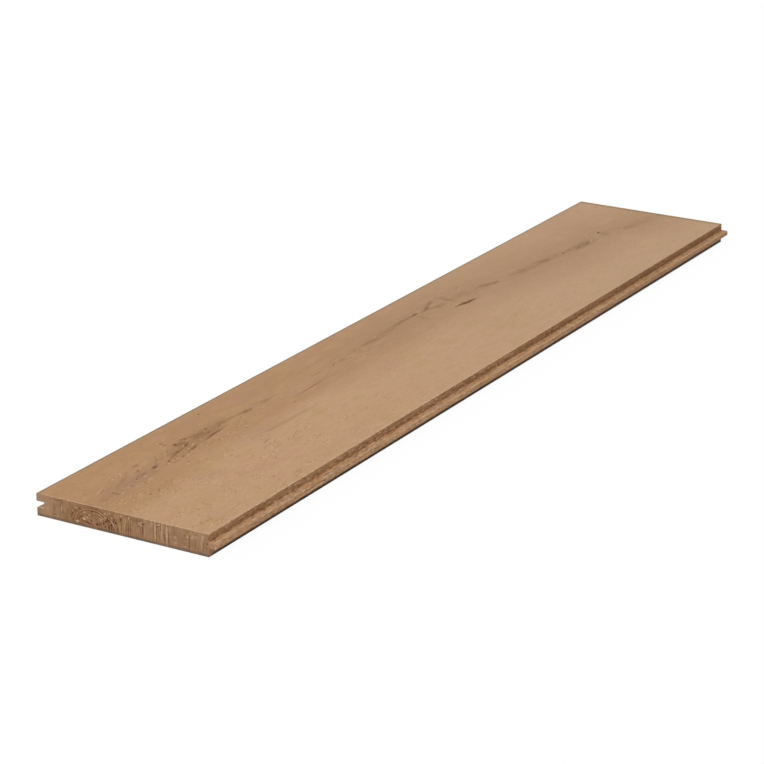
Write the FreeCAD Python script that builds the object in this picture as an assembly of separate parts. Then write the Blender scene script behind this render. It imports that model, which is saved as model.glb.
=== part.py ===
import FreeCAD, Part
import math
import os

# A solid oak floorboard, machined from one wide plank. A tongue stands out of one long side and a
# groove is cut into the other, so that laid boards push together side by side. Both ends are sawn
# square. Everything is one section, drawn in the XZ plane and drawn out along Y, as a moulder
# planes it. Sizes are in millimetres.
#
# X runs across the board towards the tongue, Y runs along it and Z points up out of the walking
# face. The origin is on the underside, half way along the board and half way across its cover
# width, so a laid floor repeats it every COVER_WIDTH along X and every LENGTH along Y.

# The plank
COVER_WIDTH = 180.0
THICKNESS = 21.0
LENGTH = 1050.0

# The tongue: its place under the walking face, its own section and the easing of its nose
FACE_TO_TONGUE = 7.3
TONGUE_THICKNESS = 5.5
TONGUE_REACH = 7.8
NOSE_RADIUS = 1.2

# The groove takes a neighbour's tongue, so its size is the tongue's with these allowances
GROOVE_HEIGHT_PLAY = 0.2
GROOVE_END_GAP = 0.5
MOUTH_CHAMFER = 0.7

# The lip under the groove stands back a little, so that the walking faces close first
LOWER_LIP_SETBACK = 0.4

# Rounded edges of the walking face, the slighter ones of the underside, and the cutter's own
# radius, which it leaves in every inside corner
FACE_ARRIS = 0.5
UNDERSIDE_ARRIS = 0.3
CUTTER_RADIUS = 0.4

SHARE_OF_WALL = 0.45  # an easing takes at most this share of the wall that it is on


def heights():
    """Heights above the underside of the tongue's two sides and of the groove's two walls."""
    tongue_top = THICKNESS - FACE_TO_TONGUE
    tongue_bottom = tongue_top - TONGUE_THICKNESS
    groove_top = tongue_top + GROOVE_HEIGHT_PLAY / 2
    groove_bottom = tongue_bottom - GROOVE_HEIGHT_PLAY / 2
    return tongue_top, tongue_bottom, groove_top, groove_bottom


def easing(size, *walls):
    """The size of an edge's easing, held to a share of the walls that meet at that edge."""
    return min(size, *(SHARE_OF_WALL * wall for wall in walls))


def section_corners():
    """The section's corners as (x, z, kind, size), going round from the lip under the groove."""
    tongue_top, tongue_bottom, groove_top, groove_bottom = heights()
    groove_side = -COVER_WIDTH / 2
    tongue_side = COVER_WIDTH / 2
    lower_lip = groove_side + LOWER_LIP_SETBACK
    nose = tongue_side + TONGUE_REACH
    groove_depth = TONGUE_REACH + GROOVE_END_GAP
    groove_floor = groove_side + groove_depth

    face_arris = easing(FACE_ARRIS, FACE_TO_TONGUE)
    under_arris = easing(UNDERSIDE_ARRIS, groove_bottom)
    nose_round = easing(NOSE_RADIUS, TONGUE_THICKNESS, TONGUE_REACH)
    tongue_root = easing(CUTTER_RADIUS, TONGUE_REACH, FACE_TO_TONGUE, tongue_bottom)
    groove_root = easing(CUTTER_RADIUS, groove_depth, groove_top - groove_bottom)
    mouth = easing(MOUTH_CHAMFER, THICKNESS - groove_top, groove_bottom, groove_depth)

    return [
        (lower_lip, 0, "round", under_arris),
        (tongue_side, 0, "round", under_arris),
        (tongue_side, tongue_bottom, "round", tongue_root),
        (nose, tongue_bottom, "round", nose_round),
        (nose, tongue_top, "round", nose_round),
        (tongue_side, tongue_top, "round", tongue_root),
        (tongue_side, THICKNESS, "round", face_arris),
        (groove_side, THICKNESS, "round", face_arris),
        (groove_side, groove_top, "chamfer", mouth),
        (groove_floor, groove_top, "round", groove_root),
        (groove_floor, groove_bottom, "round", groove_root),
        (lower_lip, groove_bottom, "chamfer", mouth),
    ]


def corner_edge(before, here, after, kind, size):
    """The short edge that eases one corner, with its two ends: an arc or a straight chamfer."""
    back = (before - here).normalize()
    on = (after - here).normalize()
    # size is the radius of an arc, or the leg of a chamfer
    half_turn = back.getAngle(on) / 2
    leg = size / math.tan(half_turn) if kind == "round" else size
    start = here + back * leg
    end = here + on * leg
    if kind == "chamfer":
        return start, Part.LineSegment(start, end), end
    inward = (back + on).normalize()
    middle = here + inward * (size / math.sin(half_turn) - size)
    return start, Part.Arc(start, middle, end), end


def section_wire(corners):
    """One closed wire through the corners, each of them eased, with straight runs between."""
    points = [FreeCAD.Vector(x, 0, z) for x, z, _, _ in corners]
    eased = []
    for i, (_, _, kind, size) in enumerate(corners):
        before = points[i - 1]
        after = points[(i + 1) % len(points)]
        eased.append(corner_edge(before, points[i], after, kind, size))
    edges = []
    for i, (_, corner, end) in enumerate(eased):
        next_start = eased[(i + 1) % len(eased)][0]
        edges.append(corner.toShape())
        edges.append(Part.LineSegment(end, next_start).toShape())
    return Part.Wire(edges)


def floorboard():
    """The whole board, one solid centred along Y."""
    section = Part.Face(section_wire(section_corners()))
    section.translate(FreeCAD.Vector(0, -LENGTH / 2, 0))
    return section.extrude(FreeCAD.Vector(0, LENGTH, 0))


os.makedirs("parts", exist_ok=True)
board = floorboard()
board.exportStep("parts/floorboard.step")
size = board.BoundBox
print(f"floorboard {size.XLength:.1f} x {size.YLength:.1f} x {size.ZLength:.1f} mm")
print(f"valid {board.isValid()}, volume {board.Volume / 1000:.1f} cm3")
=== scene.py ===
import math
from functools import reduce
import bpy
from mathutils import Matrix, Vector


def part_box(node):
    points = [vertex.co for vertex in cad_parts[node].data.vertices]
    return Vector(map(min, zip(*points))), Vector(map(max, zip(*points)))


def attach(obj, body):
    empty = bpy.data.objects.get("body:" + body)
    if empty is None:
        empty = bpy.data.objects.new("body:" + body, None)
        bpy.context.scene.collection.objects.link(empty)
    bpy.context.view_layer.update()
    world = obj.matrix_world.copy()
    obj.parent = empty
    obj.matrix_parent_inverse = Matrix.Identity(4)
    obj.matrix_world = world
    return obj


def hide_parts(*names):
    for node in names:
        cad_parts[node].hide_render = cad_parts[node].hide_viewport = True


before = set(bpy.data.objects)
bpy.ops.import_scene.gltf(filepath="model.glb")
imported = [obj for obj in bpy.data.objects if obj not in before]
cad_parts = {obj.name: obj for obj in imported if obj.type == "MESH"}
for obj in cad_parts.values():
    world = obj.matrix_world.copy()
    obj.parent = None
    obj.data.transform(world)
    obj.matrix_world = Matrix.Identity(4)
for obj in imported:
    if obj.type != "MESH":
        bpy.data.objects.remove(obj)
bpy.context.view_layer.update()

from types import SimpleNamespace

import bmesh
import bpy
import numpy as np
from mathutils import Matrix, Vector
from mathutils.geometry import delaunay_2d_cdt

MM = 0.001

# The board's box in metres, from its CAD part
NODE = "floorboard"
LOW, HIGH = (Vector(corner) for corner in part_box(NODE))
LENGTH = HIGH.y - LOW.y
FACE_ARRIS = 0.5 * MM

# Places on the board in millimetres, as the node trees take them: first those of its box, then the
# side that the tongue stands out of, the tongue's two sides and the floor of the groove
GROOVE_SIDE, NEAR_END = LOW.x / MM, LOW.y / MM
NOSE, FAR_END, FACE = (side / MM for side in HIGH)
SHOULDER = 90.0
TONGUE_TOP = 13.7
TONGUE_UNDER = 8.2
GROOVE_FLOOR = GROOVE_SIDE + 8.3

# The camera, solved on the corners of the board in the photograph
CAMERA_PLACE = (1.2979, -2.2831, 0.9306)
CAMERA_YAW = 30.583
CAMERA_PITCH = 19.982
CAMERA_LENS = 130.08
CAMERA_SENSOR = 36.0
CAMERA_REACH = 100.0

# The stage and its light. FLOOR_GLOW is how much of the floor's look is glow,
# PAINTED_SHADOW_REACH how far the painted contact shadow round the board goes, and the lights are
# shares of full light on a level surface.
FLOOR_REACH = 30.0
FLOOR_GREY = 0.8
FLOOR_GLOW = 0.96
PAINTED_SHADOW_REACH = 2.5 * MM
SKY_LIGHT = 0.5
KEY_LIGHT = 0.34
KEY_DIRECTION = Vector((0.2, -0.35, 1.0))
FILL_LIGHT = 0.16
FILL_DIRECTION = Vector((-1.0, -0.25, 0.6))
LAMP_SOFTNESS = 40.0
WHITE = (1.0, 1.0, 1.0, 1.0)

# The mesh: the size of its cells on each kind of surface, in metres
FACE_CELL = 1.3 * MM
UNDERSIDE_CELL = 4.0 * MM
SIDE_CELL = 1.3 * MM
ALONG_CELL = 4.0 * MM
END_CELL = 1.0 * MM
SHORTEST_EDGE = 0.2 * MM
END_EASING = 0.12 * MM
# A run is cut up if it is this many cells long, and its first and last cell are this part of one
LONG_RUN = 1.5
FIRST_CELL = 0.25
# The rows of an end's grid, and the gap that it leaves along the outline, in cells
ROW_GAP = 0.87
RIM_GAP = 0.55
# Lengths that count as nothing, for points at one place and for edges in the face or the underside
SAME_PLACE = 0.001 * MM
FLUSH = 0.01 * MM
# Edges that turn by more than this many degrees stay sharp
SHARP_ANGLE = 40.0
END_ATTRIBUTE = "sawn_end"

# The depths of the relief in millimetres. Marks darker than HOLLOW_FROM are hollowed too.
RING_DEPTH = 0.035
FIBRE_DEPTH = 0.03
PORE_DEPTH = 0.04
SAW_DEPTH = 0.12
END_RING_DEPTH = 0.09
HOLLOW_FROM = 0.5
HOLLOW_DEPTH = 0.45

# How far the saw's scratches lean, in radians
SAW_SLANT = 0.55

# Lumps of noise this long, in millimetres, hardly change along the board
ENDLESS = 900.0

# How far past its core a mark fades out, as a share of its size
MARK_FADE = 1.1

# The heart of the tree runs through the board, close under the walking face, and rises out of it
# between the knot and the end of the brown lens. Each waypoint is along, across and depth under the
# face, in millimetres.
HEART_ROUTE = [
    (0, 59.5, 18), (54, 58, 9), (84, 56, 3.5), (102, 54, 0), (125, 51, -4), (165, 46, -6),
    (205, 44, -4), (232, 43, 0), (262, 46, 4), (330, 46, 8), (420, 46, 8), (495, 44, 4.5), (560, 40, 1),
    (590, 41, 0.3), (625, 40, 1), (650, 44, 2), (712, 57, 1.5), (775, 66, 4), (828, 71, 5),
    (858, 75, 2.5), (900, 79, 3), (948, 76, 1.5), (985, 90, 6), (1050, 96, 12),
]
# Its curves run from 0 to 1, which stands for this span, and its depth is taken from this much
# higher up, so that it stays above 0
HEART_SPAN = 120
HEART_RISE = 20

# Growth rings, in millimetres. They are wider across than up and down. Over each stretch of
# UNEVEN_OVER there are more of them or fewer, by UNEVEN_BY at the most strongly.
RING_WIDTH = 2.7
RING_FLATTENING = 1.3
RING_WANDER = 6
RING_RIPPLE = 2.4
UNEVEN_OVER = 8
UNEVEN_BY = 1.6

# Marks on the walking face, as along, across, half their length, half their width, how far they
# turn from the grain in degrees, and how dark they are from 0 to 1
MARKS = [
    # the rings before the knot, and the knot
    (60, 56, 62, 13, 0, 0.16), (34.5, 60.5, 1.8, 5, -8, 0.45), (17, 61, 8, 4, 0, 0.16),
    (56.5, 62.5, 3.4, 1.5, 30, 0.3), (60, 48.5, 20, 2.4, -20, 0.2), (31, 48, 7, 1.4, -20, 0.25),
    (70.5, 56.5, 2.4, 1.8, -20, 0.5), (81, 55.5, 8, 3, 6, 0.32), (87.5, 46, 3.4, 1.1, -32, 0.4),
    (95.5, 37.5, 4, 2.2, -5, 0.34), (94, 60, 5, 3.5, 0, 0.2), (102, 53.9, 4.6, 2.8, -12, 0.86),
    (109, 50.5, 5, 1.6, -45, 0.35), (119, 43, 14, 1.3, -40, 0.24),
    # the lens of brown wood beyond it
    (165, 47, 64, 13, -5, 0.26), (119.5, 57, 4, 2, -12, 0.55), (121, 62, 7, 1.8, 5, 0.34),
    (139, 51.5, 19, 2.3, -12, 0.56), (143, 50, 3, 1.8, -15, 0.4), (137, 60.5, 4.5, 1.7, -15, 0.5),
    (150.5, 28, 2.5, 5, 8, 0.32), (157, 38, 3.8, 2.2, -28, 0.8), (161, 41, 11, 6, 0, 0.44),
    (161.5, 47.3, 8, 2, -14, 0.75), (156, 57.5, 17, 2.2, -14, 0.62), (169, 36, 3, 1.8, -10, 0.5),
    (173, 37.5, 4, 2, 10, 0.6), (184, 41, 12, 4.5, 16, 0.24), (197, 45, 30, 9, 0, 0.27),
    (195, 53.4, 25, 2.5, -5, 0.72), (198.5, 46.5, 3.2, 1.7, -15, 0.34),
    (203.5, 39.8, 3.8, 1.8, -15, 0.4), (217.5, 45.5, 5, 1.8, -18, 0.42), (224, 42, 10, 6, 0, 0.22),
    (243, 44, 20, 3, 4, 0.26),
    # the faint trail past it
    (262, 46.3, 11, 3.8, 0, 0.55), (292, 46, 20, 3.5, 0, 0.2), (307, 71.6, 3.4, 1.4, -15, 0.36),
    (346, 63.7, 32, 2, -1, 0.4), (383, 48.5, 11, 2.2, 0, 0.3), (415, 48.5, 10, 1.3, -22, 0.36),
    (432, 48, 7, 3.4, 0, 0.3), (470, 44, 34, 5, 0, 0.14), (496, 44.5, 14, 4, 0, 0.26),
    (534, 42.5, 44, 5.5, -5, 0.26),
    # the pair of spots, the hook and the soft upright smudges
    (566, 40, 24, 2.8, 0, 0.36), (586.5, 40.9, 8, 2, -3, 0.85), (584.5, 54, 3, 10, 0, 0.28),
    (604, 43, 13, 2, -12, 0.36), (613, 40.5, 10, 3.2, -22, 0.5), (628, 35.5, 13, 3.6, -15, 0.38),
    (624, 48, 15, 5.5, 12, 0.3), (648.5, 43, 6, 14, 0, 0.3), (675, 50, 22, 8, 8, 0.18),
    (688, 34.2, 3.6, 1.6, -20, 0.34), (713, 56.5, 22, 5.2, 18, 0.4), (726, 60.5, 9, 2.6, 12, 0.4),
    # the check
    (651, 67.2, 23, 3.3, 9, 1), (647, 67.2, 9, 2.3, 12, 0.9),
    # the long soft band towards the far end
    (774, 66, 11, 8, 10, 0.18), (806, 69, 70, 9, 5, 0.24), (824, 72, 14, 5, 0, 0.2),
    (856.5, 75.6, 5, 2.1, -5, 0.7), (868, 75, 11, 2.6, 0, 0.34), (895, 80, 32, 8, 3, 0.46),
    (888, 79, 8, 2, -20, 0.3), (905, 82, 7, 2, -20, 0.3), (947.5, 74, 4.2, 2.3, -18, 0.95),
    (946, 83, 9, 8, 0, 0.22), (982, 94, 15, 7, 8, 0.18), (1010, 98, 40, 12, 8, 0.16),
    # strays on the plain side
    (232, 12.5, 3, 1.4, -20, 0.45), (207, 104.2, 8.5, 1.3, -12, 0.6), (163, 102.5, 5, 2, 0, 0.2),
    (48.6, 86.8, 3, 1.7, -20, 0.34), (60.5, 87.7, 3.6, 1.5, -15, 0.3), (206, 89.5, 4, 2, -15, 0.22),
    (243, 92, 26, 4, 2, 0.2), (283, 93, 38, 3.6, 0, 0.22),
]

# Rosy and yellowish parts of the walking face, in the same form
ROSY_PARTS = [
    (55, 58, 70, 18, 0, 0.34), (118, 108, 16, 9, 0, 0.3), (222, 86, 40, 16, 0, 0.3),
    (200, 18, 30, 10, 0, 0.25), (300, 25, 40, 12, 0, 0.25),
]
YELLOW_PARTS = [
    (28, 92, 34, 8, 0, 0.36), (35, 125, 14, 6, 0, 0.25), (85, 67, 8, 5, 0, 0.3),
    (175, 108, 24, 9, 0, 0.25), (262, 22, 20, 10, 0, 0.3), (345, 30, 24, 10, 0, 0.3),
]

# Pale streaks beside the marks, in the same form
FLECKS = [
    (10, 45.3, 11, 1, -14, 0.34), (29.5, 45.9, 12, 1.1, -17, 0.5), (51.5, 61, 1.7, 5.5, 0, 0.28),
    (57, 67, 7, 1.6, 8, 0.2), (80.5, 58.8, 3.4, 1.5, -5, 0.5), (133, 43, 10, 1, -38, 0.3),
    (127, 48, 6, 1, -36, 0.24), (143, 62, 5.5, 1.1, -30, 0.4), (165.5, 51.6, 5.5, 1.2, -22, 0.6),
    (137.5, 90, 4, 4, 0, 0.26), (191, 61.5, 6, 1.6, -10, 0.25), (338, 38, 7, 1.4, -8, 0.3),
    (340, 61.2, 24, 1.1, 0, 0.22), (597, 39, 3, 1.5, 0, 0.45), (622.5, 41, 3.4, 1.6, -10, 0.5),
    (641, 61.8, 5.5, 1.2, -10, 0.3), (656, 62, 5.5, 1.2, -10, 0.26), (682, 40, 7, 1.2, -8, 0.26),
    (915, 81, 9, 1.5, -25, 0.34), (928, 69, 3.6, 1.6, 0, 0.34), (953, 71, 3, 1.5, 0, 0.4),
]

# Small specks of one slanted shape, as along, across, and how dark they are from 0 to 1, or how
# pale from 0 to -1
SPECK_HALF_LENGTH = 2.3
SPECK_HALF_WIDTH = 1.1
SPECK_SLANT = -28
SPECKS = [
    # before the knot
    (11, 76, 0.35), (13.8, 74, -0.4), (17, 77, -0.5), (20, 80, -0.55), (22.5, 78, 0.35),
    (17, 75, 0.3), (7.5, 78, -0.3), (34, 57.5, 0.6), (48.6, 87.3, 0.4), (51, 83, -0.3),
    (60.5, 87.6, 0.4), (59.5, 38.5, -0.7), (62.5, 36.5, 0.3), (69, 40, -0.5), (71, 33.8, -0.35),
    (73.5, 36.3, -0.75), (75.5, 40.5, 0.4), (79.5, 39.5, 0.35), (66, 41, 0.3), (71, 56.8, 0.6),
    (69, 59, -0.3), (87, 46, 0.55), (92, 37, 0.45), (97, 38, 0.45), (100, 57.5, -0.25),
    # beside and in the lens
    (116, 59, -0.6), (120, 56.5, 0.5), (124.5, 74.8, -0.6), (128.5, 72.2, 0.6), (127, 58.7, 0.5),
    (127, 63.5, 0.4), (131, 59.5, -0.35), (137, 60.5, 0.5), (139.5, 41.6, 0.45), (139, 53, -0.3),
    (144.5, 34.8, -0.65), (147, 29, -0.45), (142.5, 50, 0.5), (149, 50.7, 0.5), (150, 22.8, -0.4),
    (150, 31.5, 0.4), (151.5, 26, 0.4), (151, 59.8, -0.6), (153, 49.5, 0.5), (155, 53.8, -0.5),
    (157.5, 46.3, -0.6), (157, 38, 0.7), (160.5, 22.3, -0.5), (160.5, 56.5, 0.5),
    (161.5, 47.5, 0.7), (163, 60.5, 0.35), (168.5, 36.4, 0.5), (171, 41, -0.45), (172.5, 37.8, 0.5),
    (174.5, 40.8, -0.4), (177, 39, 0.45), (169, 58, -0.3), (173, 60.5, 0.3), (180, 51, -0.4),
    (188, 65, 0.25), (190, 40, 0.25), (195, 57.5, 0.25), (198.5, 46.7, 0.5), (199, 41.8, -0.55),
    (203.5, 39.6, 0.5), (206.5, 56, -0.45), (211, 27.8, -0.5), (205, 29.5, 0.2), (216, 48.3, -0.4),
    (217.5, 45.6, 0.55), (227, 70, 0.4), (230, 67.5, -0.5), (235, 65, 0.35), (246, 51, 0.35),
    (246.5, 53.4, -0.5), (259, 46, 0.4),
    # beyond it
    (232, 12.5, 0.45), (586, 40.8, 0.3), (856.5, 75.6, 0.3),
]

# Marks on the near end, dark and pale, in the form of the first list with the depth under the
# walking face in place of along
END_MARKS = [
    # the outermost ring, left of the heart
    (13, 37.4, 1.6, 0.6, -14, 0.7), (10.2, 38.7, 0.9, 0.6, -20, 0.75), (7.2, 42, 0.5, 1.2, 35, 0.5),
    (4.8, 46, 0.5, 1.5, 25, 0.6), (16.5, 38.6, 2, 0.5, -4, 0.52),
    # inside it
    (12.2, 46.5, 0.5, 1.4, 30, 0.65), (11.6, 48.8, 0.5, 1, 20, 0.59), (14.5, 44.6, 0.55, 1.4, 32, 0.52),
    (9.4, 54.6, 0.7, 0.7, 0, 0.6), (1.8, 60, 0.5, 6.5, 0, 0.36), (4.8, 60.3, 0.5, 2.8, 6, 0.72),
    (8.4, 60.5, 0.5, 1.6, 5, 0.52), (4, 71, 0.5, 3.5, -28, 0.45), (16.2, 54.5, 0.9, 6.5, -10, 0.65),
    (13.8, 58.6, 0.7, 0.9, 0, 0.78),
    # the strongest rings, right of the heart
    (16, 64.6, 1.4, 0.9, 30, 1), (14.6, 67.8, 1, 0.8, 20, 0.91), (13.4, 71.4, 1, 0.6, 20, 0.95),
    (16.2, 73, 0.9, 0.7, 0, 0.65), (11.3, 73.9, 1.1, 0.85, 25, 1), (9, 76, 0.9, 0.8, 25, 1),
    (10.4, 77.3, 0.95, 0.75, 22, 1), (13, 79.7, 1.05, 0.75, 18, 1), (7.4, 78.4, 0.9, 0.55, 25, 0.72),
    (5.8, 80.6, 1.1, 0.55, 25, 0.72), (9.6, 81.8, 1, 0.75, 18, 0.9), (7.6, 83.1, 0.9, 0.55, 18, 0.91),
    (10.6, 84.5, 1.2, 0.7, 12, 1), (12, 79, 6, 8, 0, 0.07), (16, 77.2, 2.8, 0.5, 6, 0.78),
    (16, 79.2, 2.8, 0.45, 5, 0.72), (16.2, 81.3, 2.6, 0.5, 5, 0.78), (15.5, 83.4, 3.2, 0.45, 3, 0.65),
    (15.5, 85.5, 3.6, 0.4, 0, 0.59),
    # the plain wood and the upright lines beyond them
    (5.9, 89.8, 1.3, 0.7, -8, 0.78), (1.6, 96.5, 0.5, 1.6, 8, 0.6), (2.8, 99.6, 1, 0.7, 0, 0.78),
    (12, 95.6, 5.5, 0.45, 0, 0.45), (12, 97.4, 6.5, 0.45, 0, 0.59), (12.5, 99.3, 5.5, 0.45, 0, 0.52),
    (3.2, 107, 2.4, 6, 6, 0.29), (5.5, 112.6, 0.5, 2.2, 22, 0.72), (7.8, 109.4, 0.5, 1.8, 22, 0.59),
    (11.5, 112.4, 6, 0.55, 0, 0.5), (9, 123.7, 7, 0.4, 0, 0.3), (10, 126.8, 8, 0.4, 0, 0.36),
    (1.4, 128.3, 0.5, 1, 0, 0.65), (3.8, 128.5, 0.45, 2.2, 15, 0.65), (6.2, 131.4, 0.9, 0.6, 0, 0.7),
    (2.4, 131.2, 1.8, 0.5, 0, 0.52), (13, 135.4, 4.5, 0.5, 0, 0.45), (13, 139.1, 6, 0.5, 0, 0.5),
    (1.9, 137, 0.5, 1.8, 0, 0.59), (6.7, 155.7, 0.8, 0.6, 0, 0.6), (9.5, 155.5, 0.4, 2.5, 12, 0.39),
    (12.5, 160.1, 5.5, 0.8, 0, 0.42), (5.7, 161.2, 0.8, 0.6, 0, 0.6), (3.4, 167.2, 0.6, 0.8, 10, 0.65),
    (12, 166.5, 5, 1.2, 0, 0.26), (13, 175, 5, 1, 0, 0.33), (9.2, 178.8, 0.8, 0.8, 12, 0.75),
    (15, 178, 3.2, 0.5, 0, 0.42),
    # near the groove
    (2.2, 20.5, 0.5, 1.2, -20, 0.52), (2.2, 23, 0.5, 1.2, 15, 0.59), (10, 18.5, 8, 1.2, 0, 0.21),
    (8, 26.5, 8, 1.4, 0, 0.21), (15.8, 19, 0.5, 2.5, 15, 0.39),
]
# Reddish parts of the near end, in the same form
END_TINTS = [
    (15, 79, 4, 5, 0, 0.3), (15.5, 98.5, 3, 4, 0, 0.35), (11, 111, 7, 4, 0, 0.26),
    (13, 131, 6, 7, 0, 0.12), (12, 145, 7, 5, 0, 0.12), (12, 19, 9, 4, 0, 0.14),
    (1.6, 20, 1.6, 7, 0, 0.25), (12, 160, 7, 5, 0, 0.14), (12, 178, 7, 5, 0, 0.14),
]
# Pale spots and streaks of the near end, in the same form
END_FLECKS = [
    (8.2, 38.7, 0.8, 0.6, -20, 0.45), (5.2, 42.2, 0.7, 1, 30, 0.5), (17, 43.6, 0.9, 1.7, 12, 0.8),
    (13.3, 50.9, 1.1, 1.1, 0, 0.95), (11.6, 54.3, 1, 0.9, 0, 0.55), (9, 56.3, 0.8, 0.8, 0, 0.45),
    (7.2, 51.8, 0.6, 1.5, 8, 0.45), (10.6, 68.6, 0.8, 0.7, 0, 0.7), (9.3, 70.5, 0.7, 0.6, 0, 0.45),
    (8, 73.4, 0.7, 0.7, 0, 0.45), (4.3, 73, 0.8, 1, 12, 0.65), (4.4, 76, 0.8, 0.6, 20, 0.5),
    (8.3, 77.5, 0.8, 0.5, 20, 0.55), (3, 77.9, 1, 0.6, 25, 0.45), (6.6, 80.2, 1.2, 0.55, 20, 0.6),
    (10.8, 80.4, 1.3, 0.5, 18, 0.55), (13.5, 82, 2, 0.5, 8, 0.45), (15, 84.5, 3, 0.45, 2, 0.35),
    (2.9, 90, 0.8, 0.9, 15, 0.6), (4, 85.5, 2.2, 2.2, 0, 0.16), (10, 92.9, 5, 0.55, 2, 0.4),
    (8, 94.7, 5, 0.4, 0, 0.3), (12, 88, 4.5, 0.6, 0, 0.25), (2.9, 98.5, 1, 0.7, 0, 0.7),
    (4.6, 110.5, 0.45, 2.4, 22, 0.6), (6.7, 110.8, 0.6, 1.1, 12, 0.85), (12, 114.6, 6, 0.7, 0, 0.25),
    (3, 122, 2.4, 0.6, 0, 0.45), (9.5, 125.3, 10, 0.6, 0, 0.6), (2.8, 129, 0.4, 2.2, 15, 0.5),
    (7.5, 132.3, 8, 0.6, 0, 0.5), (9.5, 137.3, 10, 0.75, 0, 0.6), (10.2, 145.9, 0.7, 1.4, 12, 0.5),
    (15.4, 146, 0.7, 1.2, 0, 0.35), (7, 158.6, 1.2, 0.6, -10, 0.6), (6.5, 163.5, 1.6, 0.6, -30, 0.5),
    (4.5, 174.2, 2.6, 0.8, 0, 0.5), (11, 172.5, 4.5, 0.8, 0, 0.2), (9, 27, 3.4, 0.9, -12, 0.35),
    (11.8, 12, 1, 1, 0, 0.4), (16.5, 156, 0.6, 2, 0, 0.3),
    # the tongue's own end
    (11.5, 187, 1.5, 0.6, 0, 0.8),
]


def srgb(red, green, blue):
    """The linear colour that shaders take, from the sRGB levels, 0 to 255, of a screen."""
    parts = [level / 255 for level in (red, green, blue)]
    linear = [p / 12.92 if p <= 0.04045 else ((p + 0.055) / 1.055) ** 2.4 for p in parts]
    return (*linear, 1.0)


# Colours of the wood
FACE_LIGHT = srgb(190, 152, 117)
FACE_DARK = srgb(173, 133, 96)
FACE_PINK = srgb(186, 141, 110)
FACE_OLIVE = srgb(180, 145, 98)
HEART_BROWN = srgb(100, 60, 8)
LENS_BROWN = srgb(106, 60, 17)
PORE_BROWN = srgb(122, 85, 52)
RAY_LIGHT = srgb(216, 184, 150)
SPECK_LIGHT = srgb(206, 168, 130)
FACE_ROSE = srgb(162, 124, 100)
FACE_YELLOW = srgb(172, 138, 88)
FACE_WARM = srgb(176, 134, 88)
# painted sheen towards the far end
FACE_PAINTED_SHEEN = srgb(172, 143, 116)
RAW_LIGHT = srgb(192, 146, 106)
RAW_DARK = srgb(154, 110, 72)
RAW_ORANGE = srgb(206, 142, 96)
RAW_PINK = srgb(198, 150, 126)
# painted light inside the groove and along its lower lip
GROOVE_PAINTED_LIGHT = srgb(244, 222, 200)
# painted light on the tongue, and a painted highlight on its nose
TONGUE_PAINTED_LIGHT = srgb(214, 176, 134)
END_LIGHT = srgb(178, 140, 106)
END_DARK = srgb(146, 108, 74)
END_PINK = srgb(166, 124, 99)
END_RED = srgb(162, 104, 76)
END_MARK = srgb(84, 50, 18)
END_LILAC = srgb(156, 126, 110)
END_WARM = srgb(174, 108, 58)
END_OLIVE = srgb(150, 118, 72)
END_RING = srgb(84, 50, 26)
# painted shade under the tongue and at the groove's near end
PAINTED_SHADE_BROWN = srgb(66, 44, 26)
OUTLINE_GREY = srgb(108, 110, 95)
RIM_WARM = srgb(182, 136, 78)
LOW_EDGE_GREY = srgb(102, 94, 84)


# The camera comes first

def make_camera():
    """The camera at the photograph's place, with its narrow view."""
    camera = bpy.data.objects.new("camera", bpy.data.cameras.new("camera"))
    camera.data.lens = CAMERA_LENS
    camera.data.sensor_width = CAMERA_SENSOR
    camera.data.clip_end = CAMERA_REACH
    turn = Matrix.Rotation(math.radians(CAMERA_YAW), 4, "Z")
    tilt = Matrix.Rotation(math.radians(90 - CAMERA_PITCH), 4, "X")
    camera.matrix_world = Matrix.Translation(CAMERA_PLACE) @ turn @ tilt
    bpy.context.scene.collection.objects.link(camera)
    bpy.context.scene.camera = camera


# The board's mesh

def near_end_outline(node):
    """The section's outline, as (x, z) points in order, read off the near end of the CAD board."""
    bm = bmesh.new()
    bm.from_mesh(node.data)
    bmesh.ops.remove_doubles(bm, verts=bm.verts, dist=SAME_PLACE)
    end = {face for face in bm.faces if face.normal.y < -0.99}
    rim = {edge for face in end for edge in face.edges if sum(f in end for f in edge.link_faces) == 1}
    start = min((vert for edge in rim for vert in edge.verts), key=lambda vert: (vert.co.x, vert.co.z))
    outline = []
    vert = start
    while rim:
        edge = next(edge for edge in vert.link_edges if edge in rim)
        rim.discard(edge)
        outline.append((vert.co.x, vert.co.z))
        vert = edge.other_vert(vert)
    bm.free()
    area = sum(x0 * z1 - x1 * z0 for (x0, z0), (x1, z1) in zip(outline, outline[1:] + outline[:1]))
    return outline if area > 0 else outline[::-1]


def thinned(outline, shortest):
    """The outline without the points that crowd its rounded corners."""
    kept = [outline[0]]
    for point in outline[1:]:
        if math.dist(point, kept[-1]) >= shortest:
            kept.append(point)
    return kept


def cell_for(a, b):
    """The size of the cells along one straight run of the outline."""
    if min(a[1], b[1]) > HIGH.z - FLUSH:
        return FACE_CELL
    if max(a[1], b[1]) < FLUSH:
        return UNDERSIDE_CELL
    return SIDE_CELL


def divided(outline):
    """The outline with each long run cut into cells, the first and last of them short."""
    points = []
    for a, b in zip(outline, outline[1:] + outline[:1]):
        points.append(a)
        run = math.dist(a, b)
        cell = cell_for(a, b)
        if run < LONG_RUN * cell:
            continue
        count = max(2, round(run / cell))
        margin = min(FIRST_CELL * cell / run, 0.2)
        shares = [margin, *(i / count for i in range(1, count)), 1 - margin]
        points += [(a[0] + (b[0] - a[0]) * s, a[1] + (b[1] - a[1]) * s) for s in shares]
    return points


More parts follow.
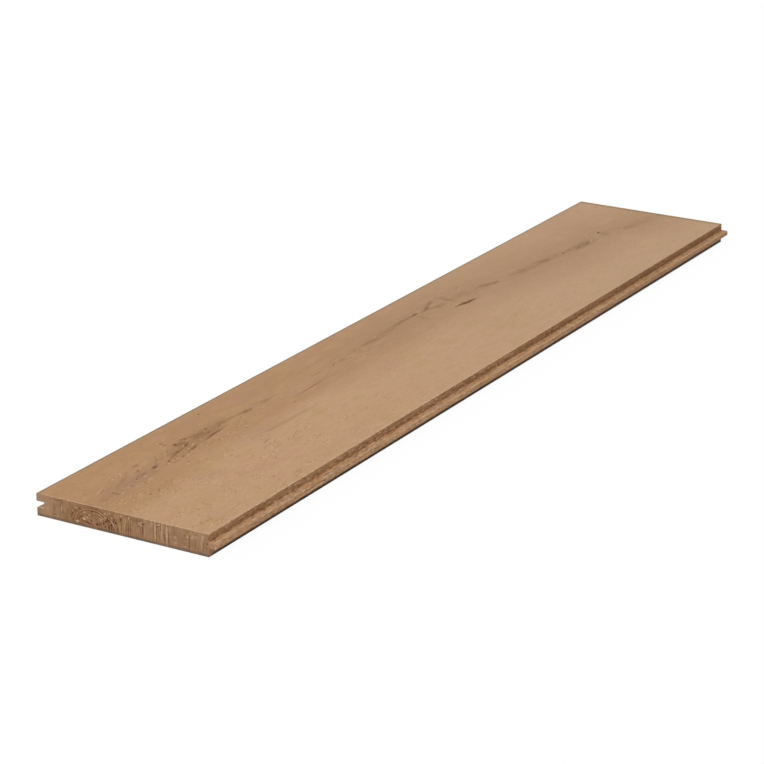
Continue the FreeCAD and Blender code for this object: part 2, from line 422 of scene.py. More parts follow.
def drawn_in(outline, by):
    """The outline moved inwards by a little, for the eased edge of a sawn end."""
    moved = []
    count = len(outline)
    for i, (x, z) in enumerate(outline):
        (x0, z0), (x1, z1) = outline[i - 1], outline[(i + 1) % count]
        run = Vector((x1 - x0, z1 - z0)).normalized()
        moved.append((x - run.y * by, z + run.x * by))
    return moved


def inside(outline_x, outline_z, x, z):
    """Whether each point lies within the outline, by counting the edges to its right."""
    x1, z1 = np.roll(outline_x, -1), np.roll(outline_z, -1)
    spans = (outline_z[None, :] > z[:, None]) != (z1[None, :] > z[:, None])
    rise = np.where(z1 == outline_z, 1.0, z1 - outline_z)
    cross = outline_x + (z[:, None] - outline_z) / rise * (x1 - outline_x)
    return (np.sum(spans & (x[:, None] < cross), axis=1) % 2).astype(bool)


def end_fill(outline):
    """Points and triangles that fill the outline with cells of one size."""
    edge_x, edge_z = np.array(outline).T
    columns = np.arange(edge_x.min(), edge_x.max(), END_CELL)
    rows = np.arange(edge_z.min(), edge_z.max(), END_CELL * ROW_GAP)
    xs, zs = np.meshgrid(columns, rows)
    # every other row is shifted, for triangles that are nearly even
    xs[1::2] += END_CELL / 2
    x, z = xs.ravel(), zs.ravel()
    keep = inside(edge_x, edge_z, x, z)
    x, z = x[keep], z[keep]
    apart = np.full(len(x), np.inf)
    for px, pz in outline:
        apart = np.minimum(apart, np.hypot(x - px, z - pz))
    inner = [(px, pz) for px, pz, gap in zip(x, z, apart) if gap > RIM_GAP * END_CELL]
    # the triangulation works on sizes near one
    points = [Vector((px / MM, pz / MM)) for px, pz in outline + inner]
    count = len(outline)
    filled = delaunay_2d_cdt(points, [], [list(range(count))], 1, 1e-6)
    verts, _, faces, origins = filled[:4]
    source = [found[0] if found else None for found in origins]
    if len(verts) != len(points) or None in source:
        raise ValueError("the end's triangles added or lost a point")
    return inner, [[source[i] for i in face] for face in faces]


def board_mesh(node):
    """The whole board as one closed mesh with cells fine enough to carry its relief."""
    outline = divided(thinned(near_end_outline(node), SHORTEST_EDGE))
    eased = drawn_in(outline, END_EASING)
    rows = round((LENGTH - 2 * END_EASING) / ALONG_CELL)
    ys = np.linspace(LOW.y + END_EASING, HIGH.y - END_EASING, rows + 1)
    loops = [(LOW.y, eased), *((y, outline) for y in ys), (HIGH.y, eased)]
    verts = [(x, y, z) for y, loop in loops for x, z in loop]
    count = len(outline)
    faces = []
    for row in range(len(loops) - 1):
        first, second = row * count, (row + 1) * count
        for i in range(count):
            j = (i + 1) % count
            faces.append((first + i, first + j, second + j, second + i))
    sides = len(faces)
    inner, triangles = end_fill(eased)
    for y, start, turn in ((LOW.y, 0, 1), (HIGH.y, (len(loops) - 1) * count, -1)):
        added = len(verts)
        verts += [(x, y, z) for x, z in inner]
        index = [*range(start, start + count), *range(added, added + len(inner))]
        faces += [tuple(index[i] for i in face[::turn]) for face in triangles]
    mesh = bpy.data.meshes.new("board")
    mesh.from_pydata(verts, [], faces)
    bm = bmesh.new()
    bm.from_mesh(mesh)
    bmesh.ops.recalc_face_normals(bm, faces=bm.faces)
    bm.to_mesh(mesh)
    bm.free()
    print("board", len(verts), "vertices,", sides + len(faces), "triangles")
    return mesh, sides


# Node trees, for shaders and for geometry alike

class Tree:
    """Adds nodes to a tree. A value given to a method is a number, a vector or a socket."""

    def __init__(self, tree):
        self.tree = tree

    def node(self, kind, *values, **settings):
        made = self.tree.nodes.new(kind)
        for name, value in settings.items():
            setattr(made, name, value)
        for i, value in enumerate(values):
            if value is not None:
                self.give(made.inputs[i], value)
        return made

    def give(self, socket, value):
        if isinstance(value, bpy.types.NodeSocket):
            self.tree.links.new(value, socket)
        else:
            socket.default_value = value

    def math(self, operation, *values):
        return self.node("ShaderNodeMath", *values, operation=operation).outputs[0]

    def add(self, *values):
        return reduce(lambda a, b: self.math("ADD", a, b), values)

    def minus(self, a, b):
        return self.math("SUBTRACT", a, b)

    def times(self, *values):
        return reduce(lambda a, b: self.math("MULTIPLY", a, b), values)

    def most(self, a, b):
        return self.math("MAXIMUM", a, b)

    def vector(self, operation, *values):
        made = self.node("ShaderNodeVectorMath", *values, operation=operation)
        return made.outputs["Value" if operation in ("DISTANCE", "LENGTH") else "Vector"]

    def scaled(self, vector, across, along, up):
        return self.vector("MULTIPLY", vector, (1 / across, 1 / along, 1 / up))

    def stretched(self, vector, by):
        made = self.node("ShaderNodeVectorMath", vector, operation="SCALE")
        self.give(made.inputs["Scale"], by)
        return made.outputs[0]

    def turned(self, vector, angle, axis="Z_AXIS", centre=None):
        made = self.node("ShaderNodeVectorRotate", vector, centre, rotation_type=axis)
        made.inputs["Angle"].default_value = angle
        return made.outputs[0]

    def split(self, vector):
        return self.node("ShaderNodeSeparateXYZ", vector).outputs

    def join(self, x, y, z):
        return self.node("ShaderNodeCombineXYZ", x, y, z).outputs[0]

    def noise(self, vector, detail, seed, roughness=0.5):
        """Noise from about -0.5 to 0.5, whose lumps are one unit of the vector across."""
        made = self.node("ShaderNodeTexNoise", noise_dimensions="4D")
        for name, value in (("Vector", vector), ("W", seed), ("Scale", 1.0), ("Detail", detail)):
            self.give(made.inputs[name], value)
        made.inputs["Roughness"].default_value = roughness
        return self.add(made.outputs[0], -0.5)

    def lumps(self, p, across, along, up, detail, seed, roughness=0.5):
        """The same noise with lumps of this size in millimetres."""
        return self.noise(self.scaled(p, across, along, up), detail, seed, roughness)

    def ease(self, value, low, high, to_low=0.0, to_high=1.0):
        """A smooth step from to_low, at and below low, to to_high, at and above high."""
        made = self.node("ShaderNodeMapRange", interpolation_type="SMOOTHSTEP")
        for i, given in enumerate((value, low, high, to_low, to_high)):
            self.give(made.inputs[i], given)
        return made.outputs[0]

    def fall(self, value, low, high):
        """A smooth step from 1, at and below low, to 0, at and above high."""
        return self.ease(value, low, high, 1.0, 0.0)

    def clamp(self, value):
        return self.node("ShaderNodeClamp", value, 0.0, 1.0).outputs[0]

    def band(self, value, middle, core, reach):
        """1 within core of the middle, and 0 beyond reach of it."""
        gap = self.math("ABSOLUTE", self.add(value, -middle))
        return self.fall(gap, core, reach)

    def curve(self, value, points):
        """A smooth curve through the points, each from 0 to 1."""
        made = self.node("ShaderNodeFloatCurve")
        self.give(made.inputs[1], value)
        line = made.mapping.curves[0]
        line.points[0].location = points[0]
        line.points[1].location = points[-1]
        for point in points[1:-1]:
            line.points.new(*point)
        made.mapping.update()
        return made.outputs[0]

    def mix(self, factor, a, b):
        """Colour a where factor is 0 and colour b where it is 1."""
        made = self.node("ShaderNodeMix", data_type="RGBA")
        self.give(made.inputs[0], factor)
        self.give(made.inputs[6], a)
        self.give(made.inputs[7], b)
        return made.outputs[2]

    def tinted(self, color, tint, value, low, high, to_low=0.0, to_high=1.0):
        """The colour, turned towards the tint by a smooth step of the value."""
        return self.mix(self.ease(value, low, high, to_low, to_high), color, tint)


# Fields of the wood and of its marks, all in millimetres

def heart_offsets(t, p):
    """How far each point lies from the heart, across and up."""
    x, y, z = t.split(p)
    length = LENGTH / MM
    share = t.node("ShaderNodeMapRange", y, NEAR_END, FAR_END, 0, 1).outputs[0]
    across = t.curve(share, [(along / length, side / HEART_SPAN) for along, side, _ in HEART_ROUTE])
    depths = [(along / length, (deep + HEART_RISE) / HEART_SPAN) for along, _, deep in HEART_ROUTE]
    depth = t.curve(share, depths)
    heart_x = t.add(t.times(across, HEART_SPAN), GROOVE_SIDE)
    heart_z = t.minus(FACE + HEART_RISE, t.times(depth, HEART_SPAN))
    return t.minus(x, heart_x), t.minus(z, heart_z)


def wood_fields(t, p):
    """What the wood is like at each point p: its rings, pores and fibres."""
    off_x, off_z = heart_offsets(t, p)
    plain_radius = t.vector("LENGTH", t.join(off_x, 0, t.times(off_z, RING_FLATTENING)))
    wander = t.lumps(p, 55, 240, 55, 2, seed=1)
    ripple = t.lumps(p, 7, 45, 7, 2, seed=2)
    radius = t.add(plain_radius, t.add(t.times(wander, RING_WANDER), t.times(ripple, RING_RIPPLE)))
    # the rings aren't all of one width
    count = t.times(radius, 1 / RING_WIDTH)
    uneven = t.noise(t.join(t.times(radius, 1 / UNEVEN_OVER), 0, 0), 1, seed=3)
    count = t.add(count, t.times(uneven, UNEVEN_BY))
    share = t.math("FRACT", count)
    ring = t.node("ShaderNodeTexWhiteNoise", None, t.math("FLOOR", count), noise_dimensions="1D")
    early = t.times(t.ease(share, 0, 0.1), t.fall(share, 0.1, 0.6))
    early = t.times(early, t.ease(ring.outputs[0], 0, 1, 0.2, 1))
    late = t.times(t.ease(share, 0.55, 0.8), t.fall(share, 0.9, 1))
    # the pores are thin and long, and lie mostly in the early wood
    pores = t.ease(t.lumps(p, 0.6, 7.5, 0.6, 1, seed=4), 0.08, 0.22)
    pores = t.times(pores, t.ease(early, 0, 0.6, 0.3, 1))
    fibre = t.lumps(p, 1.4, 70, 1.4, 3, seed=5, roughness=0.6)
    return SimpleNamespace(
        off_x=off_x, off_z=off_z, plain_radius=plain_radius, radius=radius,
        early=early, late=late, pores=pores, fibre=fibre,
    )


def plan_point(t, p):
    """The point as across and along, from the groove side's near corner."""
    return t.vector("SUBTRACT", p, (GROOVE_SIDE, NEAR_END, 0))


def end_point(t, p):
    """The point as across and depth under the walking face."""
    x, _, z = t.split(p)
    return t.join(t.add(x, -GROOVE_SIDE), t.minus(FACE, z), 0)


def in_face(t, p):
    """1 in the walking face and 0 well under it."""
    _, _, z = t.split(p)
    return t.ease(z, FACE - 3, FACE - 1)


def speckle(t, p, across, along, seed, faint, full):
    """Dark and pale dashes of this size, scattered at random, as two fields."""
    lumps = t.lumps(p, across, along, across, 1, seed=seed)
    return t.ease(lumps, faint, full), t.fall(lumps, -full, -faint)


def ellipse_field(t, q, marks, ragged, core=0.1, wider=0):
    """Ellipses in the plane of q as one field, from 0 to their darkness."""
    clear = 1
    for along, across, half_length, half_width, turn, strength in marks:
        centre = Vector((across, along, 0))
        turned = t.turned(q, math.radians(turn), centre=centre)
        size = Vector((1 / (half_width + wider), 1 / (half_length + wider), 0))
        shift = -centre * size
        apart = t.vector("LENGTH", t.vector("MULTIPLY_ADD", turned, size, shift))
        faded = t.ease(t.add(apart, ragged), core, core + MARK_FADE, 1 - strength, 1)
        clear = t.times(clear, faded)
    return t.clamp(t.minus(1, clear))


def mark_field(t, p, marks):
    """Marks on the walking face, with ragged outlines that follow the grain."""
    bend = t.lumps(p, 3.5, 11, 3.5, 2, seed=6)
    bent = t.vector("ADD", plan_point(t, p), t.join(t.times(bend, 3), t.times(bend, -8), 0))
    ragged = t.times(t.lumps(p, 1.5, 12, 1.5, 2, seed=7), 1.1)
    return t.times(ellipse_field(t, bent, marks, ragged), in_face(t, p))


def end_field(t, p, marks):
    """Marks on the near end, with slightly ragged outlines."""
    bend = t.lumps(p, 2.5, ENDLESS, 2.5, 1, seed=41)
    bent = t.vector("ADD", end_point(t, p), t.join(t.times(bend, 0.9), t.times(bend, 0.9), 0))
    field = ellipse_field(t, bent, marks, t.times(bend, 0.8), core=0.35, wider=0.2)
    _, y, _ = t.split(p)
    return t.times(field, t.fall(y, -1, 1))


def speck_field(t, p, sign):
    """The dark specks of the walking face where sign is 1, and the pale ones where it is -1."""
    turn = Matrix.Rotation(math.radians(SPECK_SLANT), 3, "Z")
    size = Vector((1 / SPECK_HALF_WIDTH, 1 / SPECK_HALF_LENGTH, 0))
    bend = t.lumps(p, 2, 4, 2, 1, seed=18)
    bent = t.vector("ADD", plan_point(t, p), t.join(t.times(bend, 1.6), t.times(bend, -2.4), 0))
    scaled = t.vector("MULTIPLY", t.turned(bent, math.radians(SPECK_SLANT)), size)
    clear = 1
    for along, across, strength in SPECKS:
        if strength * sign > 0:
            apart = t.vector("DISTANCE", scaled, (turn @ Vector((across, along, 0))) * size)
            clear = t.times(clear, t.ease(apart, 0.15, 1.2, 1 - abs(strength), 1))
    return t.times(t.clamp(t.minus(1, clear)), in_face(t, p))


# Relief: what the finish leaves of the grain, cut into the mesh and never raised out of it

def relief_tree():
    """Moves each point of the board inwards by the depth of the grain, the marks and the saw."""
    group = bpy.data.node_groups.new("relief", "GeometryNodeTree")
    group.interface.new_socket("Geometry", in_out="INPUT", socket_type="NodeSocketGeometry")
    group.interface.new_socket("Geometry", in_out="OUTPUT", socket_type="NodeSocketGeometry")
    t = Tree(group)
    p = t.stretched(t.node("GeometryNodeInputPosition").outputs[0], 1 / MM)
    wood = wood_fields(t, p)
    deep = [mark for mark in MARKS if mark[-1] > HOLLOW_FROM]
    hollow = t.ease(mark_field(t, p, deep), HOLLOW_FROM, 1, 0, HOLLOW_DEPTH)
    fibre = t.times(t.add(wood.fibre, 0.5), FIBRE_DEPTH)
    grain = t.add(t.times(wood.early, RING_DEPTH), fibre)
    long_depth = t.add(grain, t.times(wood.pores, PORE_DEPTH), hollow)
    # a saw leaves fine upright ridges over the rings
    scratch = t.add(t.lumps(p, 0.9, ENDLESS, 14, 3, seed=9, roughness=0.6), 0.5)
    end_depth = t.add(t.times(scratch, SAW_DEPTH), t.times(wood.early, END_RING_DEPTH))
    is_end = t.node("GeometryNodeInputNamedAttribute", END_ATTRIBUTE, data_type="FLOAT").outputs[0]
    depth = t.add(t.times(long_depth, t.minus(1, is_end)), t.times(end_depth, is_end))
    normal = t.node("GeometryNodeInputNormal").outputs[0]
    moved = t.node("GeometryNodeSetPosition")
    t.give(moved.inputs["Geometry"], t.node("NodeGroupInput").outputs[0])
    t.give(moved.inputs["Offset"], t.stretched(normal, t.times(t.most(depth, 0), -MM)))
    t.node("NodeGroupOutput", moved.outputs[0])
    return group


def cut_relief(board):
    """Applies the relief to the board's own mesh."""
    modifier = board.modifiers.new("relief", "NODES")
    modifier.node_group = relief_tree()
    graph = bpy.context.evaluated_depsgraph_get()
    carved = bpy.data.meshes.new_from_object(board.evaluated_get(graph))
    board.modifiers.clear()
    board.data = carved
    carved.name = "board"


# Materials. Their noises are from about -0.5 to 0.5, and their places are in millimetres.

def new_material(name):
    """An empty node material and its tree."""
    material = bpy.data.materials.new(name)
    material.use_nodes = True
    material.node_tree.nodes.clear()
    return material, Tree(material.node_tree)


def object_point(t):
    """The shaded point in the board's own frame, in millimetres."""
    return t.stretched(t.node("ShaderNodeTexCoord").outputs["Object"], 1 / MM)


def finish_shader(t, color, roughness, height, bump, gloss):
    """The Principled shader with its varying colour, roughness and bump."""
    shader = t.node("ShaderNodeBsdfPrincipled")
    t.give(shader.inputs["Base Color"], color)
    t.give(shader.inputs["Roughness"], roughness)
    shader.inputs["Specular IOR Level"].default_value = gloss
    made = t.node("ShaderNodeBump")
    made.inputs["Strength"].default_value = 1
    made.inputs["Distance"].default_value = bump * MM
    t.give(made.inputs["Height"], height)
    t.give(shader.inputs["Normal"], made.outputs[0])
    output = t.node("ShaderNodeOutputMaterial")
    t.give(output.inputs["Surface"], shader.outputs[0])


def face_tone(t, p, wood):
    """The broad colours of the walking face."""
    _, y, _ = t.split(p)
    off_x = wood.off_x
    # darker beside the heart, lighter on the tongue's side and, less so, at the groove
    light = t.ease(off_x, 20, t.ease(y, -250, 150, 52, 84))
    light = t.add(light, t.ease(off_x, -74, -36, 0.6, 0))
    broad = t.lumps(p, 26, 130, 26, 2, seed=11)
    color = t.mix(t.clamp(t.add(light, t.times(broad, 1.3))), FACE_DARK, FACE_LIGHT)
    hue = t.lumps(p, 13, 34, 13, 2, seed=12)
    color = t.tinted(color, FACE_PINK, hue, 0.02, 0.25, 0, 0.75)
    color = t.tinted(color, FACE_OLIVE, hue, -0.25, -0.02, 0.8, 0)
    color = t.tinted(color, PORE_BROWN, wood.fibre, -0.25, 0.2, 0.09, 0)
    short = t.lumps(p, 1.6, 16, 1.6, 2, seed=19)
    color = t.tinted(color, PORE_BROWN, short, -0.25, 0.1, 0.13, 0)
    # the near end is warm in colour, and the far end pale as painted sheen, but browner beside the
    # heart
    warm = t.times(t.ease(y, -525, -150, 0.22, 0), t.ease(off_x, 20, 70, 1, 0.3))
    color = t.mix(warm, color, FACE_WARM)
    color = t.tinted(color, FACE_PAINTED_SHEEN, y, -300, 300, 0, 0.36)
    near_heart = t.fall(wood.plain_radius, 12, 36)
    color = t.mix(t.times(t.ease(y, -300, 0, 0, 0.12), near_heart), color, PORE_BROWN)
    color = t.mix(mark_field(t, p, ROSY_PARTS), color, FACE_ROSE)
    return t.mix(mark_field(t, p, YELLOW_PARTS), color, FACE_YELLOW)


def face_figure(t, p, wood, color):
    """The rings, which show most beside the heart, the pores, and the brown clouds at the heart."""
    figure = t.ease(wood.plain_radius, 3, 26, 1, 0.1)
    figure = t.times(figure, t.ease(t.lumps(p, 9, 22, 9, 2, seed=17), -0.15, 0.2, 0.1, 1))
    color = t.mix(t.times(wood.early, figure, 0.26), color, PORE_BROWN)
    color = t.mix(t.times(wood.late, figure, 0.16), color, RAY_LIGHT)
    color = t.mix(t.times(wood.pores, 0.36), color, PORE_BROWN)
    near_heart = t.fall(wood.plain_radius, 1, 15)
    clouds = t.ease(t.lumps(p, 8, 50, 8, 3, seed=13), -0.15, 0.25)
    return t.mix(t.times(near_heart, clouds, 0.12), color, HEART_BROWN)


def face_dashes(t, p, wood):
    """Short slanting dashes, dark and pale, in drifts that thin out towards the far end."""
    _, y, _ = t.split(p)
    drift = t.ease(t.lumps(p, 6, 24, 6, 2, seed=14), 0, 0.12, 0.1, 1)
    drift = t.times(drift, t.ease(y, -400, -100, 0.62, 0.32))
    drift = t.times(drift, t.ease(wood.off_x, -12, 6, 0.3, 1))
    dashes, flecks = speckle(t, t.turned(p, math.radians(SPECK_SLANT)), 1.8, 4.2, 15, 0, 0.26)
    return t.times(dashes, drift), t.times(flecks, drift)


def face_marks(t, p, color):
    """The marks and specks that stand at places of their own."""
    _, y, _ = t.split(p)
    in_lens = t.times(t.ease(y, -375, -345), t.fall(y, -310, -250))
    color = t.mix(mark_field(t, p, MARKS), color, t.mix(in_lens, HEART_BROWN, LENS_BROWN))
    color = t.mix(speck_field(t, p, 1), color, HEART_BROWN)
    color = t.mix(mark_field(t, p, FLECKS), color, SPECK_LIGHT)
    return t.mix(speck_field(t, p, -1), color, SPECK_LIGHT)


def face_edges(t, p, color):
    """The eased edges, with a painted highlight on the tongue's side and the near end, and greyer at
    the groove and the far end.
    """
    x, y, _ = t.split(p)
    to_edge = t.most(t.add(x, -SHOULDER), t.minus(NEAR_END, y))
    bits = t.lumps(p, 3, 4, 3, 1, seed=20)
    # painted highlight: the eased edge is made pale in bits where it would catch the light, fading
    # towards the far end
    painted_edge_highlight = t.times(t.ease(to_edge, -2, -0.3), t.ease(bits, -0.1, 0.15, 0.1, 0.75))
    color = t.mix(t.times(painted_edge_highlight, t.fall(y, -100, 500)), color, RAY_LIGHT)
    from_groove = t.add(x, -GROOVE_SIDE)
    from_far = t.minus(FAR_END, y)
    darkened_edge = t.times(t.ease(from_groove, 0.5, 1), t.fall(from_groove, 1, 3))
    at_far = t.times(t.ease(from_far, 1.6, 2.6), t.ease(from_far, 2.6, 7.5, 0.9, 0))
    color = t.mix(t.most(darkened_edge, at_far), color, OUTLINE_GREY)
    rim = t.most(t.ease(from_groove, 0.5, 1, 0.85, 0), t.ease(from_far, 1.6, 2.6, 0.85, 0))
    return t.mix(rim, color, RIM_WARM)


def face_material():
    """The finished walking face."""
    material, t = new_material("oak_face")
    p = object_point(t)
    wood = wood_fields(t, p)
    color = face_figure(t, p, wood, face_tone(t, p, wood))
    dashes, flecks = face_dashes(t, p, wood)
    color = t.mix(t.times(dashes, 0.75), color, PORE_BROWN)
    color = t.mix(t.times(flecks, 0.85), color, SPECK_LIGHT)
    color = face_edges(t, p, face_marks(t, p, color))
    roughness = t.add(0.55, t.add(t.times(wood.pores, 0.2), t.times(wood.fibre, 0.2)))
    height = t.add(t.times(wood.pores, -1), t.times(wood.fibre, 0.8))
    height = t.add(height, t.times(dashes, -0.8))
    finish_shader(t, color, roughness, height, bump=0.08, gloss=0.1)
    return material


def planed_wood(t, p, wood):
    """The broad colours of the planed sides."""
    broad = t.lumps(p, 12, 90, 5, 3, seed=21)
    color = t.mix(t.ease(broad, -0.25, 0.25), RAW_DARK, RAW_LIGHT)
    color = t.tinted(color, PORE_BROWN, wood.fibre, -0.25, 0.25, 0.3, 0)
    color = t.mix(t.times(wood.early, 0.2), color, PORE_BROWN)
    color = t.mix(t.times(wood.pores, 0.4), color, PORE_BROWN)
    blotches = t.lumps(p, 9, 11, 3, 2, seed=24)
    color = t.tinted(color, PORE_BROWN, blotches, 0.02, 0.2, 0, 0.5)
    return t.tinted(color, RAW_LIGHT, blotches, -0.2, 0, 0.85, 0)


def tongue_places(t, p):
    """Fields that are 1 on the whole tongue and on its nose."""
    x, _, _ = t.split(p)
    return t.ease(x, SHOULDER + 0.4, SHOULDER + 2), t.ease(x, NOSE - 2.2, NOSE - 0.6)


def tongue_hues(t, p, color):
    """The tongue, painted paler than the lip over it as painted light, and changing in hue along its
    length.
    """
    _, y, _ = t.split(p)
    tongue, nose = tongue_places(t, p)
    # painted light: the tongue's upper side, and less so its nose, is made paler than the shaded lip
    # over it
    paler = t.ease(nose, 0, 1, 0.4, t.ease(y, -450, -200, 0.18, 0.36))
    color = t.mix(t.times(tongue, paler), color, TONGUE_PAINTED_LIGHT)
    hue = t.lumps(p, 6, 9, 3, 2, seed=25)
    color = t.mix(t.times(tongue, t.ease(hue, 0.03, 0.2, 0, 0.8)), color, RAW_PINK)
    return t.mix(t.times(tongue, t.ease(hue, -0.2, -0.03, 0.95, 0)), color, RAW_ORANGE)


def tongue_streaks_and_painted_light(t, p, color):
    """Streaks along the sides, a painted highlight on the nose's upper edge, and painted shade towards
    the far end.
    """
    _, y, z = t.split(p)
    tongue, nose = tongue_places(t, p)
    streaks = t.lumps(p, 1.2, 30, 1.2, 2, seed=26)
    color = t.tinted(color, PORE_BROWN, streaks, 0.02, 0.2, 0, 0.4)
    color = t.mix(t.times(tongue, t.ease(streaks, -0.2, -0.04, 0.5, 0)), color, RAY_LIGHT)
    # painted highlight where the nose's upper edge catches the light
    top = t.ease(z, TONGUE_TOP - 1.4, TONGUE_TOP - 0.5)
    color = t.mix(t.times(nose, top, 0.16), color, TONGUE_PAINTED_LIGHT)
    # painted shade towards the far end, which the tongue's upper side takes least
    flat = t.times(tongue, t.ease(z, TONGUE_TOP - 1, TONGUE_TOP - 0.3))
    darker = t.times(t.ease(y, -300, 525, 0, 0.55), t.ease(flat, 0, 1, 1, 0.4))
    return t.mix(t.times(darker, t.ease(nose, 0, 1, 1, 0.72)), color, PORE_BROWN)


def under_tongue_painted_light_and_shade(t, p, color):
    """Painted light and shade under the tongue: paler at the near end, and darker along the lower edge.
    """
    x, y, z = t.split(p)
    under = t.fall(z, TONGUE_UNDER - 0.2, TONGUE_UNDER + 0.4)
    under = t.times(under, t.ease(x, 80, 89))
    # painted light: the shaded wedge under the tongue is made paler at the near end
    painted_light_wedge = t.times(under, t.ease(y, NEAR_END + 6, NEAR_END + 16, 0.36, 0))
    color = t.mix(painted_light_wedge, color, RAW_PINK)
    # painted shade: the lower edge under the tongue is darkened, less so at the near end
    darkened_edge = t.times(t.ease(z, 1.5, 2.6, 0.9, 0), t.ease(y, NEAR_END + 4, NEAR_END + 10, 0.5, 1))
    return t.mix(darkened_edge, color, PAINTED_SHADE_BROWN)


def groove_painted_light_and_shade(t, p, color):
    """The groove, made paler inside and along its lower lip near the near end as painted light, and
    darker at that end itself as painted shade.
    """
    x, y, z = t.split(p)
    groove = t.fall(x, GROOVE_FLOOR + 0.3, GROOVE_FLOOR + 0.7)
    groove = t.times(groove, t.ease(x, GROOVE_SIDE + 0.4, GROOVE_SIDE + 0.8))
    # painted light: the shaded inside of the groove is made paler
    color = t.mix(t.times(groove, 0.3), color, GROOVE_PAINTED_LIGHT)
    # painted highlight along the edge of the lower lip, strongest near the near end
    lip = t.fall(x, GROOVE_SIDE + 1.6, GROOVE_SIDE + 2.4)
    lip = t.times(lip, t.band(z, 8, 0.7, 1))
    pale = t.ease(y, NEAR_END + 3.5, NEAR_END + 6)
    pale = t.times(pale, t.ease(y, NEAR_END + 25, NEAR_END + 60, 1, 0.08))
    color = t.mix(t.times(lip, pale), color, GROOVE_PAINTED_LIGHT)
    # painted shade on the lower lip at the near end itself
    return t.mix(t.times(lip, t.ease(y, NEAR_END + 3, NEAR_END + 5, 0.7, 0)), color, PAINTED_SHADE_BROWN)


def raw_material():
    """The planed sides, tongue, groove and underside, which have no finish on them."""
    material, t = new_material("oak_planed")
    p = object_point(t)
    wood = wood_fields(t, p)
    color = tongue_hues(t, p, planed_wood(t, p, wood))
    dashes, flecks = speckle(t, p, 1.6, 5, 22, 0.06, 0.2)
    color = t.mix(t.times(dashes, 0.8), color, PORE_BROWN)
    color = t.mix(t.times(flecks, 0.75), color, RAY_LIGHT)
    color = under_tongue_painted_light_and_shade(t, p, tongue_streaks_and_painted_light(t, p, color))
    color = groove_painted_light_and_shade(t, p, color)
    roughness = t.add(0.66, t.times(wood.fibre, 0.2))
    height = t.add(t.times(wood.pores, -1), t.add(wood.fibre, t.times(dashes, -1)))
    finish_shader(t, color, roughness, height, bump=0.1, gloss=0.15)
    return material


def end_wood(t, p, wood, blotch):
    """The broad colours of the sawn ends, with their rings and the rays across these."""
    _, _, z = t.split(p)
    radius = wood.plain_radius
    heartwood = t.ease(radius, 10, 60, -0.2, 0.05)
    tone = t.ease(t.add(t.times(blotch, 0.7), heartwood), -0.3, 0.3)
    color = t.mix(tone, END_DARK, END_LIGHT)
    hue = t.lumps(p, 11, ENDLESS, 7, 2, seed=38)
    color = t.tinted(color, END_PINK, hue, 0.02, 0.22, 0, 0.7)
    color = t.tinted(color, END_OLIVE, hue, -0.22, -0.02, 0.6, 0)
    color = t.tinted(color, END_PINK, radius, 5, 12, 0.75, 0)
    # rays cross the rings, so that these break up into dashes
    angle = t.math("ARCTAN2", wood.off_z, wood.off_x)
    ray_at = t.join(t.times(angle, 14), 0, t.times(wood.radius, 0.09))
    rays = t.ease(t.noise(ray_at, 2, seed=32), 0.02, 0.2)
    # the rings end at the outermost one of the heart, and run on fainter on the right
    inner = t.times(t.ease(radius, 4, 9), t.fall(radius, 23, 27))
    inner = t.times(inner, t.ease(wood.off_x, -4, 9, 0.42, 0.9))
    outer = t.times(t.ease(radius, 23, 27), t.ease(radius, 40, 60, 1, 0.4))
    right = t.times(t.ease(wood.off_x, 10, 20, 0, 0.3), t.ease(z, 9, 13, 1, 0.3))
    shown = t.add(inner, t.times(outer, right))
    strength = t.times(shown, t.ease(rays, 0, 1, 1, 0.2))
    color = t.mix(t.times(wood.early, strength, 1.15), color, END_RING)
    color = t.mix(t.times(wood.late, shown, 0.4), color, RAY_LIGHT)
    return t.mix(t.times(rays, t.ease(radius, 20, 50, 0.25, 0.1)), color, RAY_LIGHT)


def saw_lines(t, p, color):
    """The saw's slanting scratches, and upright lines, which are strongest right of the heart."""
    x, _, z = t.split(p)
    slanting = t.lumps(t.turned(p, SAW_SLANT, "Y_AXIS"), 1.3, ENDLESS, 7, 2, seed=36)
    color = t.mix(t.times(t.ease(slanting, 0.06, 0.22), 0.22), color, RAY_LIGHT)
    upright = t.lumps(p, 1, ENDLESS, 14, 2, seed=39)
    grille = t.times(t.ease(x, -16, -12), t.fall(x, 9, 13))
    grille = t.times(grille, t.fall(z, 10, 13.5))
    stripe = t.math("SINE", t.add(t.times(x, 3.5), t.times(upright, 5)))
    color = t.mix(t.times(grille, t.ease(stripe, 0.1, 0.9, 0, 0.42)), color, END_RING)
    color = t.mix(t.times(grille, t.ease(stripe, -0.9, -0.1, 0.4, 0)), color, RAY_LIGHT)
    color = t.tinted(color, END_RING, upright, 0.02, 0.22, 0, 0.2)
    return t.tinted(color, RAY_LIGHT, upright, -0.22, -0.02, 0.2, 0)


def end_hues(t, p, color):
    """Greyish above the groove, yellowish under it, warm at the heart and pink on the tongue."""
    x, _, z = t.split(p)
    at_groove = t.ease(x, GROOVE_SIDE + 6, GROOVE_SIDE + 22, 0.6, 0)
    color = t.mix(t.times(at_groove, t.ease(z, 8.5, 11)), color, END_LILAC)
    color = t.mix(t.times(at_groove, t.ease(z, 5.5, 8, 0.7, 0)), color, END_OLIVE)
    color = t.tinted(color, RAW_PINK, x, SHOULDER - 0.5, SHOULDER + 1.5, 0, 0.34)
    color = t.tinted(color, END_LIGHT, x, GROOVE_SIDE + 10, GROOVE_SIDE + 34, 0.66, 0)
    warm = t.times(t.ease(x, -64, -44), t.fall(x, 0, 20))
    return t.mix(t.times(warm, 0.18), color, END_WARM)


